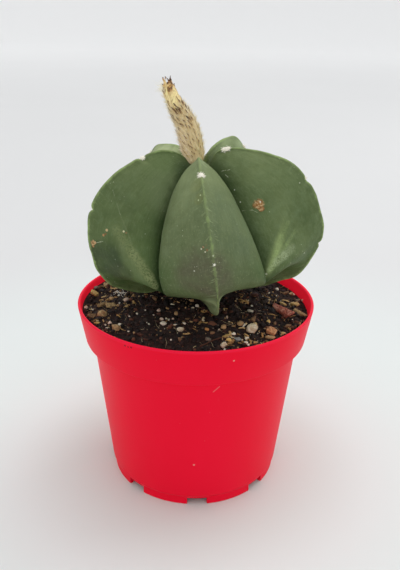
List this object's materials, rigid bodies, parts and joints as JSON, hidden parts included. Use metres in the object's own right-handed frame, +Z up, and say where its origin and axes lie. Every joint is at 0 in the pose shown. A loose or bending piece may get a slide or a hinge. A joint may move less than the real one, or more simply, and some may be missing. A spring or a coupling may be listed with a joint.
{
  "type": "five-ribbed bishop's cap cactus in a nursery pot",
  "caption": "Squat cactus with broad, sharp-edged ribs, a withered woolly flower on its crown, standing in mounded potting mix in a tapered plastic nursery pot.",
  "frame": {"origin": "centre of the pot's foot, on the surface that it stands on", "axes": "+Z up along the pot's axis, -Y towards the viewer and the front rib, +X to the viewer's right"},
  "size_m": [0.1051, 0.105, 0.1803],
  "materials": {
    "pot_plastic": "moulded, soft sheen",
    "soil": "crumbly peat mix",
    "cactus_skin": "smooth, waxy, matt",
    "areole_wool": "woolly",
    "dried_flower": "dry, papery and woolly",
    "flower_hair": "fine dry hairs",
    "pebble_pale": "matt",
    "pebble_tan": "matt",
    "pebble_grey": "matt",
    "bark": "rough",
    "wood_chip": "rough"
  },
  "bodies": {
    "root": {"pot": "pot_plastic", "soil": "soil", "cactus": "cactus_skin", "dried_flower": "dried_flower", "pebble_large": "pebble_pale", "pebble_square": "pebble_pale", "pebble_tan": "pebble_tan", "pebble_flat": "pebble_tan", "pebble_grey": "pebble_grey", "pebble_pale": "pebble_pale", "pebble_yellow": "pebble_pale", "pebble_seed": "pebble_pale", "pebble_wall": "pebble_pale", "pebble_back_1": "pebble_tan", "pebble_back_2": "pebble_grey", "pebble_back_3": "pebble_pale", "bark_red": "bark", "bark_orange": "bark", "wood_chip_long": "wood_chip", "wood_chip_short": "wood_chip", "wood_chip_wall": "wood_chip", "chip_brown": "bark", "chip_yellow": "wood_chip", "chip_amber": "wood_chip", "bark_back": "bark", "chip_back": "wood_chip"}
  },
  "joints": []
}
